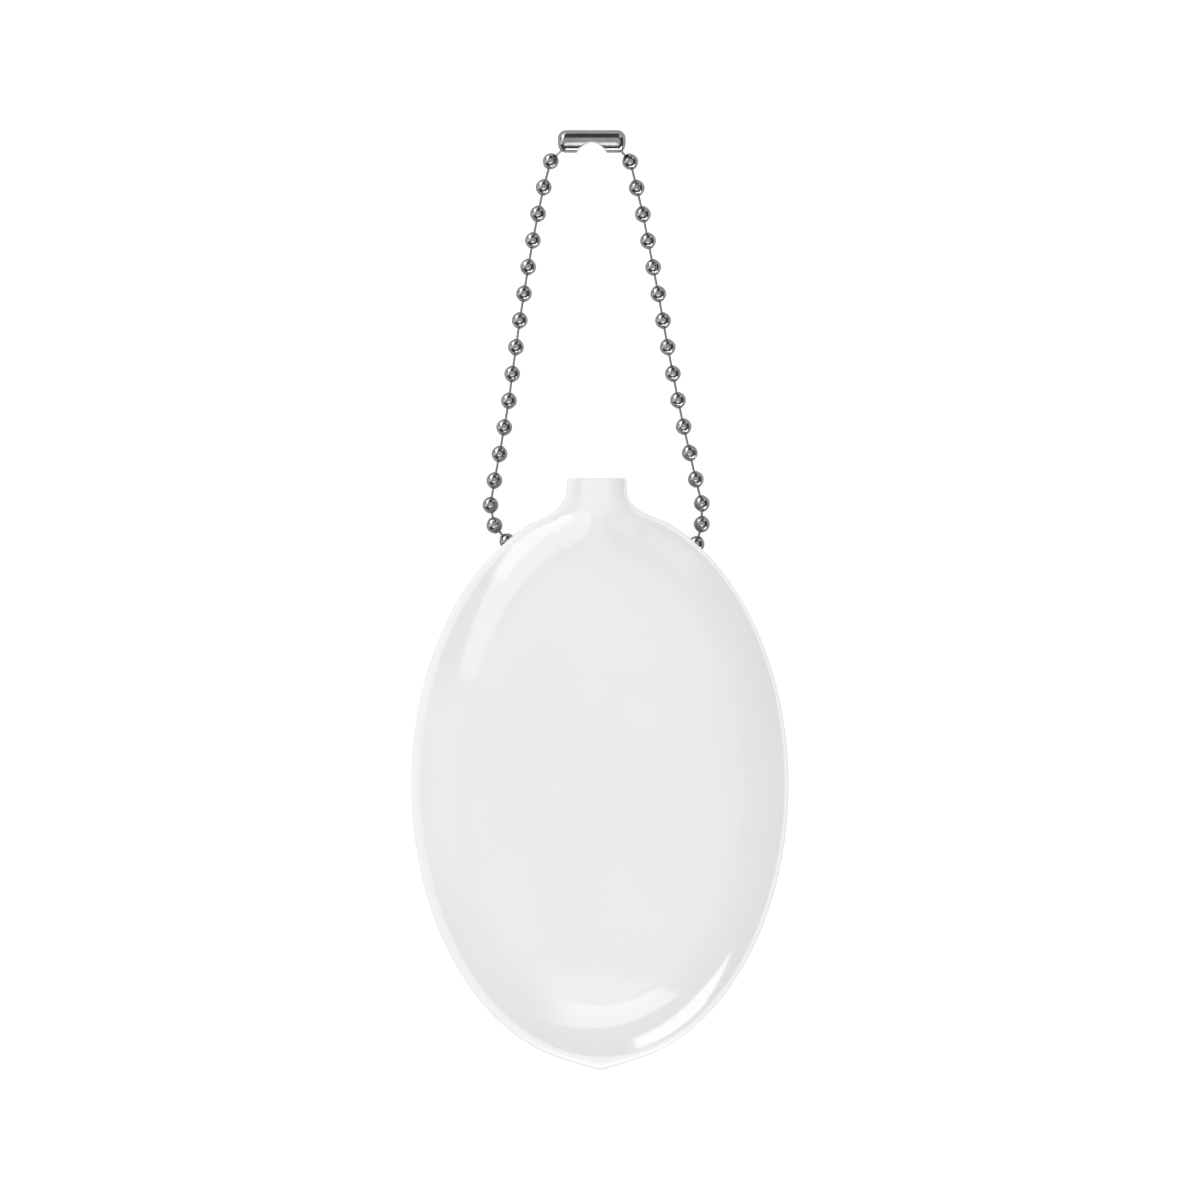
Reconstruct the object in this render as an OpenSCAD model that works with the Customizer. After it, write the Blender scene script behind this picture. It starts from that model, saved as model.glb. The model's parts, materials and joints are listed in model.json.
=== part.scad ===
// Squeeze coin purse: a moulded vinyl pouch with a slit back, on a looped ball chain.
// The purse lies on its back, the front faces +Z and the neck points to +Y.
// The origin is the middle of the slit, on the flat of the back.

/* [Purse] */
// Width of the front dome, without the rim
purse_w = 54.6; // [52:0.1:64]
// Length of the front dome, without the rim
purse_l = 82; // [74:0.1:90]
// How far the dome's centre lies below the origin
purse_drop = 0.5; // [0:0.1:3]
// Height of the front above the parting plane
front_h = 6; // [4.5:0.1:8]
// Depth of the back below the parting plane
back_h = 6.5; // [5.5:0.1:8]
// How far in from the edge the rounded border reaches
border_w = 16; // [14:0.1:17]
// Thickness of the vinyl
wall = 1.4; // [1:0.1:1.8]
// How far the moulded rim stands out
rim_w = 1; // [0.7:0.1:1.5]
// How far the moulded rim sits to the left of the dome
rim_shift = 0.4; // [0:0.05:0.4]
// How far the moulded rim sits below the dome
rim_drop = 0.2; // [0:0.05:0.3]
// Thickness of the moulded rim
rim_t = 0.8; // [0.5:0.1:1.2]
// Half width of the pointed tip at the bottom of the rim
tip_w = 6; // [3:0.1:9]
// How far the pointed tip reaches past the rim
tip_reach = 0.9; // [0.4:0.1:2]

/* [Neck] */
// Width of the neck without its rim
neck_w = 7.4; // [6:0.1:9]
// Thickness of the neck, front to back
neck_t = 5.8; // [5:0.1:7]
// How far the neck stands above the dome's upper end
neck_reach = 4.8; // [3.5:0.1:7]
// How far the neck sits to the left of the centre line
neck_offset = 0.5; // [0:0.1:1]
// Diameter of the hole down the neck
neck_bore = 2.8; // [2:0.1:3.2]
// Rounding of the neck's end
neck_round = 0.5; // [0.2:0.1:0.8]
// How far the moulded rim stands out beside the neck
neck_rim_w = 0.8; // [0.6:0.1:1.2]

/* [Slit] */
// Width of the slit between the two lips
slit_w = 0.3; // [0.2:0.05:0.6]
// How far in from the dome's edge the lips begin
lip_inset = 7; // [6.8:0.1:8]
// Gap that stands for the bend line round each lip
lip_gap = 0.2; // [0.15:0.05:0.4]

/* [Ball chain] */
// Diameter of a bead
bead_d = 2.4; // [2:0.1:2.6]
// Thickness of a bead's sheet
bead_wall = 0.15; // [0.12:0.01:0.2]
// Diameter of the link wire
wire_d = 0.34; // [0.25:0.01:0.4]
// Gap between the link wire and its hole
wire_gap = 0.17; // [0.15:0.01:0.2]
// How far a wire's head reaches past the hole
head_hold = 0.08; // [0.05:0.01:0.1]
// Thickness of a wire's head
head_t = 0.2; // [0.15:0.01:0.25]
// Bead to bead distance where the chain lies stretched
taut_pitch = 4.06; // [3.9:0.01:4.3]
// Bead to bead distance where the chain lies slack
slack_pitch = 3.1; // [3:0.01:3.6]
// Half of the distance between the two places where the chain goes in
entry_x = 14.2; // [13:0.1:15]
// Height of those two places above the origin, along the purse
entry_y = 35.8; // [34:0.1:37]
// How much lower the chain goes in on the right
entry_skew = 0.4; // [0:0.1:1]
// How far the hidden stretch of chain dips towards the middle
entry_dip = 7.1; // [6:0.1:9]
// Gap round a bead in the hole that the chain goes through
entry_gap = 0.45; // [0.3:0.05:0.6]

/* [Clasp] */
// Length of the clasp
clasp_l = 10.2; // [9.4:0.1:12]
// Thickness of the clasp's sheet
clasp_wall = 0.35; // [0.25:0.01:0.4]
// Gap round an end bead in the clasp
seat_gap = 0.25; // [0.15:0.01:0.35]
// Width of the slot that the wires pass through
slot_w = 1.5; // [1.4:0.05:1.7]
// Half width of the arched notch at the clasp's edge
notch_w = 2.4; // [1.8:0.1:2.6]
// Height of the arched notch
notch_h = 1.75; // [1.2:0.05:2]

/* [Hidden] */
// Beads in each visible strand, and in the stretch hidden in the purse
STRAND = 16;
INNER = 10;
// Directions of the links away from the purse, in degrees from +Y towards +X
LEFT_WAY = [-39, -11, 9, 11, 10, 10, 7, 8, 8, 9, 9, 10, 11, 12, 15, 45];
RIGHT_WAY = [15, 0, -14, -13, -13, -12, -11, -11, -10, -10, -11, -11, -11, -13, -14];
// The first links from the purse lie slack, and the next is partly stretched
SLACK_LINKS = 2;
PARTLY = 2 / 3;
part_pitch = slack_pitch + (taut_pitch - slack_pitch) * PARTLY;

// Flats round the purse, and steps along one rounded border, across a lip and along the neck
AROUND = 60;
ALONG = 7;
LIP_STEPS = 3;
NECK_SIDES = 28;
NECK_STEPS = 6;
ROUNDING = [0, 45, 90];
// How far a cutter reaches past what it cuts
cut = 1;

half_w = purse_w / 2;
half_l = purse_l / 2;
part_z = back_h;
dome_top_y = half_l - purse_drop;

// The border rises from a slant at the edge to level where the flat begins
RISE = 3;
// The neck's flare: how fast its width, its thickness and its rim grow towards the shoulders
FLARE_POWER = 2.9;
FLARE_W = 0.028;
FLARE_T = 0.0015;
FLARE_RIM = 0.038;
// The flare meets the shoulders below the dome's end and then narrows inside the dome
JOIN_DEPTH = 1.6;
FOOT_DEPTH = 4.2;
NARROWING = 0.9;
// An ellipse has a squareness of 1, a rounded oblong less
SQUARENESS = 0.8;
neck_top_y = dome_top_y + neck_reach;
flare_y = neck_top_y - 2 * neck_round;
join_y = dome_top_y - JOIN_DEPTH;
foot_y = dome_top_y - FOOT_DEPTH;

// The hidden stretch of chain runs in an arc and rises to the parting plane
ENTRY_SHIFT = -0.1;
RISE_POWER = 2.2;
arc_r = (entry_x * entry_x + entry_dip * entry_dip) / (2 * entry_dip);
arc_half = asin(entry_x / arc_r);

// A bead swings by this much at each end of a wire
SWING = 30;
HEAD_ROOM = 0.1;
// Where the loop is left open, a wire ends this far short of its bead
OPEN_GAP = 0.1;
bead_r = bead_d / 2;
inside_r = bead_r - bead_wall;
pivot_r = bead_r - bead_wall / 2;
hole_r = wire_d / 2 + wire_gap;
head_r = hole_r + head_hold;
// A wire's first head rests by the wall of its own bead, the second deeper in the next bead
near_head = sqrt(pow(inside_r, 2) - pow(head_r + HEAD_ROOM, 2)) - head_t / 2;
head_sink = pivot_r * (1 - cos(SWING));

// Corner rounding of the clasp as a share of its radius
CORNER = 0.6;
clasp_r = bead_r + seat_gap + clasp_wall;
seat_x = clasp_l / 2 - clasp_wall - seat_gap - bead_r;
notch_r = (notch_w * notch_w + notch_h * notch_h) / (2 * notch_h);

function bead_name(side, i) = str(side, "_bead_", i < 10 ? "0" : "", i);

function steps(from, to, n) = [for (i = [0:n]) from + (to - from) * i / n];

// Rings of equal counts, skinned from the top one to the bottom one
module ring_loft(rings) {
    n = len(rings[0]);
    m = len(rings);
    points = [for (r = rings) for (p = r) p];
    sides = [
        for (j = [0:m - 2]) for (i = [0:n - 1]) let (k = (i + 1) % n)
            each [[j * n + i, j * n + k, (j + 1) * n + k], [j * n + i, (j + 1) * n + k, (j + 1) * n + i]]
    ];
    top = [for (i = [n - 1:-1:0]) i];
    bottom = [for (i = [0:n - 1]) (m - 1) * n + i];
    polyhedron(points = points, faces = concat([top], sides, [bottom]));
}

// Outline of the dome, moved in by a distance
function edge_normal(t) =
    let (n = [cos(t) / half_w, sin(t) / half_l])
    n / norm(n);
function edge_point(t, inset) =
    [half_w * cos(t), half_l * sin(t) - purse_drop] - inset * edge_normal(t);
function edge_ring(inset, z) =
    [for (i = [0:AROUND - 1]) let (p = edge_point(360 * i / AROUND, inset)) [p[0], p[1], z]];
function rim_ring(z) = [for (p = edge_ring(-rim_w, z)) p - [rim_shift, rim_drop, 0]];

// The rounded border: a share of 0 is the edge and 1 is where the flat begins
function rise(u) = 1 - pow(1 - u, RISE);
function skin_share(inset) = inset / border_w;
function lining_share(inset) = (inset - wall) / (border_w - wall);
function skin_ring(u, z) = edge_ring(border_w * u, z);
function lining_ring(u, z) = edge_ring(wall + (border_w - wall) * u, z);
function front_skin(u) = skin_ring(u, part_z + rim_t / 2 + (front_h - rim_t / 2) * rise(u));
function back_skin(u) = skin_ring(u, part_z - rim_t / 2 - (back_h - rim_t / 2) * rise(u));
function front_lining(u) = lining_ring(u, part_z + (front_h - wall) * rise(u));
function back_lining(u) = lining_ring(u, part_z - (back_h - wall) * rise(u));

module shell_body() {
    open_at = lip_inset - lip_gap;
    ring_loft(concat(
        [for (u = steps(1, 0, ALONG)) front_skin(u)],
        [rim_ring(part_z + rim_t / 2), rim_ring(part_z - rim_t / 2)],
        [for (u = steps(0, skin_share(open_at), ALONG - 2)) back_skin(u)],
        [for (u = steps(lining_share(open_at), 0, ALONG - 3)) back_lining(u)],
        [for (u = steps(1 / (ALONG - 1), 1, ALONG - 2)) front_lining(u)]
    ));
}

module cavity() {
    ring_loft(concat(
        [for (u = steps(1, 0, ALONG - 1)) front_lining(u)],
        [for (u = steps(1 / (ALONG - 1), 1, ALONG - 2)) back_lining(u)]
    ));
}

module lip_plate() {
    ring_loft(concat(
        [for (u = steps(1, lining_share(lip_inset), LIP_STEPS)) back_lining(u)],
        [for (u = steps(skin_share(lip_inset), 1, LIP_STEPS)) back_skin(u)]
    ));
}

module lip(side) {
    color("white")
    intersection() {
        lip_plate();
        translate([side > 0 ? slit_w / 2 : -slit_w / 2 - half_w, -half_l - cut, -cut])
        cube([half_w, purse_l + 2 * cut, part_z + cut]);
    }
}

module left_lip() lip(-1);
module right_lip() lip(1);

// Pointed tip at the bottom of the rim
module rim_tip() {
    out_w = half_w + rim_w;
    out_l = half_l + rim_w;
    side_y = -out_l * sqrt(1 - pow(tip_w / out_w, 2)) - purse_drop;
    inner_w = tip_w / 2;
    inner_y = rim_w - half_l - purse_drop;
    translate([-rim_shift, -rim_drop, part_z - rim_t / 2])
    linear_extrude(rim_t)
    polygon([
        [-tip_w, side_y],
        [0, -out_l - purse_drop - tip_reach],
        [tip_w, side_y],
        [inner_w, inner_y],
        [-inner_w, inner_y]
    ]);
}

// Neck
function flare(y) = pow(max(flare_y - y, 0), FLARE_POWER);
function neck_half_w(y) = neck_w / 2 + FLARE_W * flare(max(y, join_y)) - NARROWING * max(join_y - y, 0);
function neck_half_t(y) = neck_t / 2 + FLARE_T * flare(y);
function rim_half_w(y) = neck_w / 2 + neck_rim_w + FLARE_RIM * flare(y);
function squared(v) = sign(v) * pow(abs(v), SQUARENESS);
function neck_ring(y, shrink) = [
    for (i = [0:NECK_SIDES - 1])
        let (a = -360 * i / NECK_SIDES)
        [
            (neck_half_w(y) - shrink) * squared(cos(a)) - neck_offset,
            y,
            part_z + (neck_half_t(y) - shrink) * squared(sin(a))
        ]
];

module neck_body() {
    difference() {
        ring_loft(concat(
            [
                for (a = ROUNDING)
                    neck_ring(neck_top_y - neck_round * (1 - cos(a)), neck_round * (1 - sin(a)))
            ],
            [for (y = steps(flare_y, join_y, NECK_STEPS)) neck_ring(y, 0)],
            [neck_ring((join_y + foot_y) / 2, 0), neck_ring(foot_y, 0)]
        ));
        cavity();
    }
}

module neck_rim() {
    side_y = steps(neck_top_y - neck_round, join_y, NECK_STEPS);
    foot_w = neck_w / 2;
    in_wall_y = dome_top_y - wall / 2;
    right = [for (y = side_y) [rim_half_w(y), y]];
    left = [for (i = [NECK_STEPS:-1:0]) [-rim_half_w(side_y[i]), side_y[i]]];
    translate([-neck_offset - rim_shift, 0, part_z - rim_t / 2])
    linear_extrude(rim_t)
    polygon(concat(right, [[foot_w, in_wall_y], [-foot_w, in_wall_y]], left));
}

module front_shell() {
    color("white")
    difference() {
        union() {
            shell_body();
            neck_body();
            neck_rim();
            rim_tip();
        }
        translate([-neck_offset, neck_top_y + cut, part_z])
        rotate([90, 0, 0])
        cylinder(d = neck_bore, h = neck_reach + 2 * wall + cut, $fn = 48);
        entry_hole(inner_at(1), inner_at(2));
        entry_hole(inner_at(INNER), inner_at(INNER - 1));
    }
}

// Places of the beads: the hidden stretch, and the strands from where they come out to the clasp
function inner_at(i) =
    let (u = 2 * i / (INNER + 1) - 1, a = u * arc_half)
    [
        ENTRY_SHIFT + arc_r * sin(a),
        entry_y - entry_skew * (1 + u) / 2 - entry_dip + arc_r * (1 - cos(a)),
        bead_r + (part_z - bead_r) * (1 - pow(abs(u), RISE_POWER))
    ];
function link_span(i) = i <= SLACK_LINKS ? slack_pitch : i == SLACK_LINKS + 1 ? part_pitch : taut_pitch;
function strand_at(way, start, i) =
    i == 1
        ? start
        : strand_at(way, start, i - 1) + link_span(i - 1) * [sin(way[i - 2]), cos(way[i - 2]), 0];
function left_at(i) = strand_at(LEFT_WAY, inner_at(0), i);
function right_at(i) = strand_at(RIGHT_WAY, inner_at(INNER + 1), i);
left_end = let (p = left_at(STRAND + 1)) [p[0], p[1], clasp_r];
right_end = left_end + [2 * seat_x, 0, 0];

module along(from, to) {
    v = to - from;
    translate(from)
    rotate([0, acos(v[2] / norm(v)), atan2(v[1], v[0])])
    children();
}

module entry_hole(hole_bead, next_bead) {
    long = slack_pitch + bead_d;
    along(hole_bead, next_bead)
    translate([0, 0, -long / 2])
    cylinder(r = bead_r + entry_gap, h = long + bead_r, $fn = 48);
}

// A bead is rolled from sheet, and the seam faces away from its holes
module bead(at, toward) {
    first = toward[0] - at;
    seam = atan2(first[1], first[0]) + 90;
    difference() {
        translate(at) rotate(seam) sphere(r = bead_r, $fn = 64);
        translate(at) rotate(seam) sphere(r = inside_r, $fn = 64);
        for (p = toward) along(at, p) cylinder(r = hole_r, h = bead_r + cut, $fn = 32);
    }
}

module wire_head(at) {
    translate([0, 0, at - head_t / 2]) cylinder(r = head_r, h = head_t, $fn = 32);
}

module link_wire(from, to) {
    far_head = norm(to - from) - head_sink;
    along(from, to) {
        wire_head(near_head);
        translate([0, 0, near_head]) cylinder(d = wire_d, h = far_head - near_head, $fn = 32);
        wire_head(far_head);
    }
}

module inner_bead(i) {
    here = inner_at(i);
    color("silver") {
        bead(here, [inner_at(i - 1), inner_at(i + 1)]);
        if (i == 1) link_wire(here, inner_at(0));
        link_wire(here, inner_at(i + 1));
    }
}

module left_bead(i) {
    here = left_at(i);
    before = i == 1 ? inner_at(1) : left_at(i - 1);
    after = i == STRAND ? left_end : left_at(i + 1);
    color("silver") {
        bead(here, [before, after]);
        link_wire(here, after);
    }
}

// The last bead of the right strand is where the loop is left open
module right_bead(i) {
    here = right_at(i);
    before = i == 1 ? inner_at(INNER) : right_at(i - 1);
    after = i == STRAND ? right_end : right_at(i + 1);
    color("silver") {
        bead(here, [before, after]);
        if (i < STRAND) link_wire(here, after);
    }
}

module left_clasp_bead() {
    color("silver") bead(left_end, [left_at(STRAND)]);
}

module right_clasp_bead() {
    last = right_at(STRAND);
    stub = norm(last - right_end) - bead_r - OPEN_GAP;
    color("silver") {
        bead(right_end, [last]);
        along(right_end, last) {
            wire_head(near_head);
            translate([0, 0, near_head]) cylinder(d = wire_d, h = stub - near_head, $fn = 32);
        }
    }
}

// Half of a bar's outline, from its axis outwards, with rounded corners
module rounded_bar(r, long) {
    corner = CORNER * r;
    translate([0, -long / 2]) square([r - corner, long]);
    translate([0, corner - long / 2]) square([r, long - 2 * corner]);
    for (side = [-1, 1]) translate([r - corner, side * (long / 2 - corner)]) circle(r = corner, $fn = 48);
}

// Clasp: a rolled sheet tube over the chain's two end beads
module clasp() {
    color("silver")
    translate((left_end + right_end) / 2)
    difference() {
        rotate([0, 90, 0])
        rotate_extrude($fn = 64)
        intersection() {
            difference() {
                rounded_bar(clasp_r, clasp_l);
                rounded_bar(clasp_r - clasp_wall, clasp_l - 2 * clasp_wall);
            }
            translate([0, -clasp_l]) square([2 * clasp_r, 2 * clasp_l]);
        }
        translate([-clasp_l, -2 * clasp_r, -slot_w / 2]) cube([2 * clasp_l, 2 * clasp_r, slot_w]);
        translate([0, notch_h - notch_r - clasp_r, -clasp_l / 2])
        cylinder(r = notch_r, h = clasp_l, $fn = 64);
    }
}

front_shell();
left_lip();
right_lip();
clasp();
left_clasp_bead();
right_clasp_bead();
for (i = [1:INNER]) inner_bead(i);
for (i = [1:STRAND]) left_bead(i);
for (i = [1:STRAND]) right_bead(i);
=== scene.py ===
"""Looks of a squeeze coin purse on a looped ball chain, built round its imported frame.

Shapes are worked out in millimetres in the frame's own axes and written to the meshes in metres.
"""

import json
import math
import random

import bmesh
import bpy
import numpy as np
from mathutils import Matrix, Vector

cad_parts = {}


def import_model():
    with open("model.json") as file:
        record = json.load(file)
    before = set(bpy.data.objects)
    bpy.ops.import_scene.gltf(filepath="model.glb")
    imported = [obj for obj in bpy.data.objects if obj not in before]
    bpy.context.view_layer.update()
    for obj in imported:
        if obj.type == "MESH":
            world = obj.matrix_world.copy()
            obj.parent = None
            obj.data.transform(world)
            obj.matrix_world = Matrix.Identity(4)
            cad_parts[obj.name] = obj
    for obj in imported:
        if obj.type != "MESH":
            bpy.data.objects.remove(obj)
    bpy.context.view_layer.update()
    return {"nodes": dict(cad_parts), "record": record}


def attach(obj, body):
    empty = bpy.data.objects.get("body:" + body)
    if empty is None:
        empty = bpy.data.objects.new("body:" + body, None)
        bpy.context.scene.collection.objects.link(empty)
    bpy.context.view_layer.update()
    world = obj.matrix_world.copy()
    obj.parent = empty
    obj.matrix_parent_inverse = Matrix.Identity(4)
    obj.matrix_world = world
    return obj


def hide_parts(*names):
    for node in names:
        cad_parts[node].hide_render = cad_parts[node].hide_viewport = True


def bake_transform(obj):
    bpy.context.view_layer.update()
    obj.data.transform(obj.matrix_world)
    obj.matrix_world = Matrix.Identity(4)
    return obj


MM = 0.001

# The dome, as in the part: half axes of its outline, and how far its middle lies below the origin
HALF_W = 27.3
HALF_L = 41.0
DROP = 0.5
# Height of the parting plane over the back, and how far the front and the back stand off it
PART_Z = 6.5
FRONT_H = 6.0
BACK_H = 6.5
# Width of the rounded border, the power of its curve, and the vinyl's thickness
BORDER_W = 16.0
RISE = 3
WALL = 1.4
# The rim: width, shift to the left and down, thickness, and its tip's half width and reach
RIM_W = 1.0
RIM_SHIFT = 0.4
RIM_DROP = 0.2
RIM_T = 0.8
TIP_HALF_W = 6.0
TIP_REACH = 0.9
# How far in from the outline the lips start, and the width of the slit between them
LIP_INSET = 7.0
SLIT_W = 0.3

# The neck: width, reach beyond the dome, offset to the left, rim beside it, bore, and rounding at its end
NECK_W = 7.4
NECK_REACH = 4.8
NECK_OFFSET = 0.5
NECK_RIM_W = 0.8
NECK_BORE = 2.8
NECK_ROUND = 0.5
# How the neck and its rim widen downwards, and how the neck narrows again within the dome
FLARE_POWER = 2.9
FLARE_W = 0.028
FLARE_RIM = 0.038
JOIN_DEPTH = 1.6
NARROWING = 0.9
TOP_Y = HALF_L - DROP
NECK_TOP_Y = TOP_Y + NECK_REACH
FLARE_Y = NECK_TOP_Y - 2 * NECK_ROUND
JOIN_Y = TOP_Y - JOIN_DEPTH

# The chain: its beads, its wires, and the number of beads in each strand and inside the purse
BEAD_R = 1.2
BEAD_WALL = 0.15
WIRE_R = 0.17
STRAND = 16
INNER = 10

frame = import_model()


# Meshes

# Points closer than this are one point, and edges shorter than this are none, in metres
SAME_POINT = 1e-6
NO_LENGTH = 1e-7


def add_mesh(name, points, faces, material, sharp_deg=40.0):
    """A smooth-shaded mesh object from points in millimetres."""
    mesh = bpy.data.meshes.new(name)
    mesh.from_pydata([tuple(MM * c for c in p) for p in points], [], faces)
    obj = bpy.data.objects.new(name, mesh)
    bpy.context.scene.collection.objects.link(obj)
    obj.data.materials.append(material)
    tidy_mesh(obj, sharp_deg)
    return obj


def tidy_mesh(obj, sharp_deg):
    work = bmesh.new()
    work.from_mesh(obj.data)
    bmesh.ops.remove_doubles(work, verts=work.verts, dist=SAME_POINT)
    bmesh.ops.dissolve_degenerate(work, edges=work.edges, dist=NO_LENGTH)
    bmesh.ops.recalc_face_normals(work, faces=work.faces)
    work.to_mesh(obj.data)
    work.free()
    obj.data.shade_smooth()
    obj.data.set_sharp_from_angle(angle=math.radians(sharp_deg))


def ring_faces(rings, around, closed_ends=(False, False)):
    """Quads between successive rings of equal counts, with a cap at either end if asked."""
    faces = []
    for j in range(rings - 1):
        for i in range(around):
            k = (i + 1) % around
            faces.append((j * around + i, j * around + k, (j + 1) * around + k, (j + 1) * around + i))
    if closed_ends[0]:
        faces.append(tuple(range(around - 1, -1, -1)))
    if closed_ends[1]:
        faces.append(tuple((rings - 1) * around + i for i in range(around)))
    return faces


def grid_quad(row, column, columns):
    """The quad above and right of one point of a grid."""
    a = row * columns + column
    return a, a + 1, a + columns + 1, a + columns


def turned_shape(profile, start, way, sides):
    """Points and faces of a closed turned shape, from pairs of radius and distance along the way."""
    turn = way.to_track_quat("Z", "Y").to_matrix()
    points = []
    for radius, distance in profile:
        for i in range(sides):
            angle = 2 * math.pi * i / sides
            point = Vector((radius * math.cos(angle), radius * math.sin(angle), distance))
            points.append(start + turn @ point)
    return points, ring_faces(len(profile), sides, (True, True))


def join_meshes(name, objs):
    """One object from several, which are removed."""
    with bpy.context.temp_override(active_object=objs[0], selected_editable_objects=objs):
        bpy.ops.object.join()
    objs[0].name = name
    objs[0].data.name = name
    return objs[0]


def cut_away(obj, tools):
    """Boolean difference of obj and the tools, which are removed."""
    for tool in tools:
        modifier = obj.modifiers.new("cut", "BOOLEAN")
        modifier.operation = "DIFFERENCE"
        modifier.solver = "EXACT"
        modifier.object = tool
    bake_modifiers(obj)
    for tool in tools:
        bpy.data.objects.remove(tool)


def bake_modifiers(obj):
    shown = obj.evaluated_get(bpy.context.evaluated_depsgraph_get())
    mesh = bpy.data.meshes.new_from_object(shown)
    obj.modifiers.clear()
    obj.data = mesh


def smoothstep(low, high, v):
    """A smooth step from 0 at low to 1 at high."""
    t = np.clip((v - low) / (high - low), 0, 1)
    return t * t * (3 - 2 * t)


# The purse's surfaces

def edge_normal(t):
    """Outward normal of the dome's outline, an ellipse, at its angle t."""
    n = np.stack([np.cos(t) / HALF_W, np.sin(t) / HALF_L], -1)
    return n / np.linalg.norm(n, axis=-1, keepdims=True)


def edge_point(t, inset):
    """Point at the given distance inside the dome's outline."""
    p = np.stack([HALF_W * np.cos(t), HALF_L * np.sin(t) - DROP], -1)
    return p - inset * edge_normal(t)


def spine_point(t):
    """Where the normal at t meets the long axis."""
    y = (HALF_L**2 - HALF_W**2) / HALF_L * np.sin(t) - DROP
    return np.stack([np.zeros_like(y), y], -1)


# Rounds of the search for the nearest point of an ellipse, and what keeps its divisor from zero
NEAREST_ROUNDS = 6
NOT_ZERO = 1e-9


def inset_of(x, y):
    """Distance from points inside the dome's outline to that outline."""
    px, py = np.abs(x), np.abs(y + DROP)
    a, b = HALF_W, HALF_L
    tx = np.full_like(px, math.sqrt(0.5))
    ty = tx.copy()
    for _ in range(NEAREST_ROUNDS):
        ex, ey = (a * a - b * b) * tx**3 / a, (b * b - a * a) * ty**3 / b
        r = np.hypot(a * tx - ex, b * ty - ey)
        q = np.maximum(np.hypot(px - ex, py - ey), NOT_ZERO)
        tx = np.clip(((px - ex) * r / q + ex) / a, 0, 1)
        ty = np.clip(((py - ey) * r / q + ey) / b, 0, 1)
        size = np.hypot(tx, ty)
        tx, ty = tx / size, ty / size
    return np.hypot(px - a * tx, py - b * ty)


def border_rise(inset, reach):
    """From 0 at the edge to 1 where the border ends."""
    return 1 - (1 - np.clip(inset / reach, 0, 1)) ** RISE


# How far the face's slight crown rises at the dome's middle
CROWN = 0.3


def crown(x, y):
    return CROWN * np.maximum(1 - (x / HALF_W) ** 2 - ((y + DROP) / HALF_L) ** 2, 0)


def smooth_min(a, b, reach):
    """The smaller of a and b, rounded where they differ by less than the reach."""
    return np.minimum(a, b) - np.maximum(reach - np.abs(a - b), 0) ** 2 / (4 * reach)


def flare(y):
    """How the neck and its rim widen towards the dome."""
    return np.maximum(FLARE_Y - y, 0) ** FLARE_POWER


def neck_half_w(y):
    flared = NECK_W / 2 + FLARE_W * flare(np.maximum(y, JOIN_Y))
    return np.maximum(flared - NARROWING * np.maximum(JOIN_Y - y, 0), NECK_W / 2)


def rim_half_w(y):
    return NECK_W / 2 + NECK_RIM_W + FLARE_RIM * flare(y)


# The dome's upper end and the neck share one rounded border, which follows their common outline
OUTLINE_FROM = 8.0
OUTLINE_TO = NECK_TOP_Y + 4.0
OUTLINE_POINTS = 200
# The border goes over to that outline between these heights. Its left and right side blend where their
# distances differ by less than RIDGE
SHARED_FROM = 22.0
SHARED_TO = 30.0
RIDGE = 2.4


def side_outline(side):
    """One side of the common outline, from the dome's flank to past the neck's end."""
    y = np.linspace(OUTLINE_FROM, OUTLINE_TO, OUTLINE_POINTS)
    dome_x = HALF_W * np.sqrt(np.maximum(1 - ((y + DROP) / HALF_L) ** 2, 0))
    return np.column_stack([side * np.maximum(dome_x, neck_half_w(y) - side * NECK_OFFSET), y])


def distance_to(points, line):
    """Distance from each point to a line of many short segments."""
    start, span = line[:-1], np.diff(line, axis=0)
    from_start = points[:, None, :] - start[None, :, :]
    share = np.clip((from_start * span).sum(-1) / (span**2).sum(-1), 0, 1)
    return np.linalg.norm(from_start - share[..., None] * span, axis=-1).min(1)


def shared_inset(x, y, inset):
    """Distance to the outline that the dome and the neck have in common."""
    shared = np.array(inset, dtype=float)
    upper = y > SHARED_FROM
    if upper.any():
        points = np.column_stack([x[upper], y[upper]])
        sides = [distance_to(points, side_outline(side)) for side in (-1, 1)]
        part = smoothstep(SHARED_FROM, SHARED_TO, y[upper])
        shared[upper] = shared[upper] * (1 - part) + smooth_min(*sides, RIDGE) * part
    return np.maximum(shared, 0)


# Height of the neck's middle over the rim's face, and where the dome's section turns into the neck's
NECK_H = 2.5
SECTION_FROM = TOP_Y - 3.0
SECTION_TO = NECK_TOP_Y - 1.5


def surface_height(x, y, inset, height):
    """Height over the parting plane: the dome's wide border, or the neck's flat front with steep sides."""
    shared = shared_inset(x, y, inset)
    in_neck = smoothstep(SECTION_FROM, SECTION_TO, y)
    dome = (height - RIM_T / 2) * border_rise(shared, BORDER_W)
    neck = NECK_H * border_rise(shared, NECK_W / 2)
    return RIM_T / 2 + dome * (1 - in_neck) + neck * in_neck


def front_height(x, y, inset):
    return surface_height(x, y, inset, FRONT_H - CROWN) + crown(x, y)


def back_depth(x, y, inset):
    return surface_height(x, y, inset, BACK_H)


def lining_rise(inset, height):
    """Height of the inner surface, a wall's thickness inside the outer one."""
    return (height - WALL) * border_rise(inset - WALL, BORDER_W - WALL)


# Points round the shell, and rings across its parts
AROUND = 360
BORDER_STEPS = 40
FACE_STEPS = 12
LINING_STEPS = 12


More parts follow.
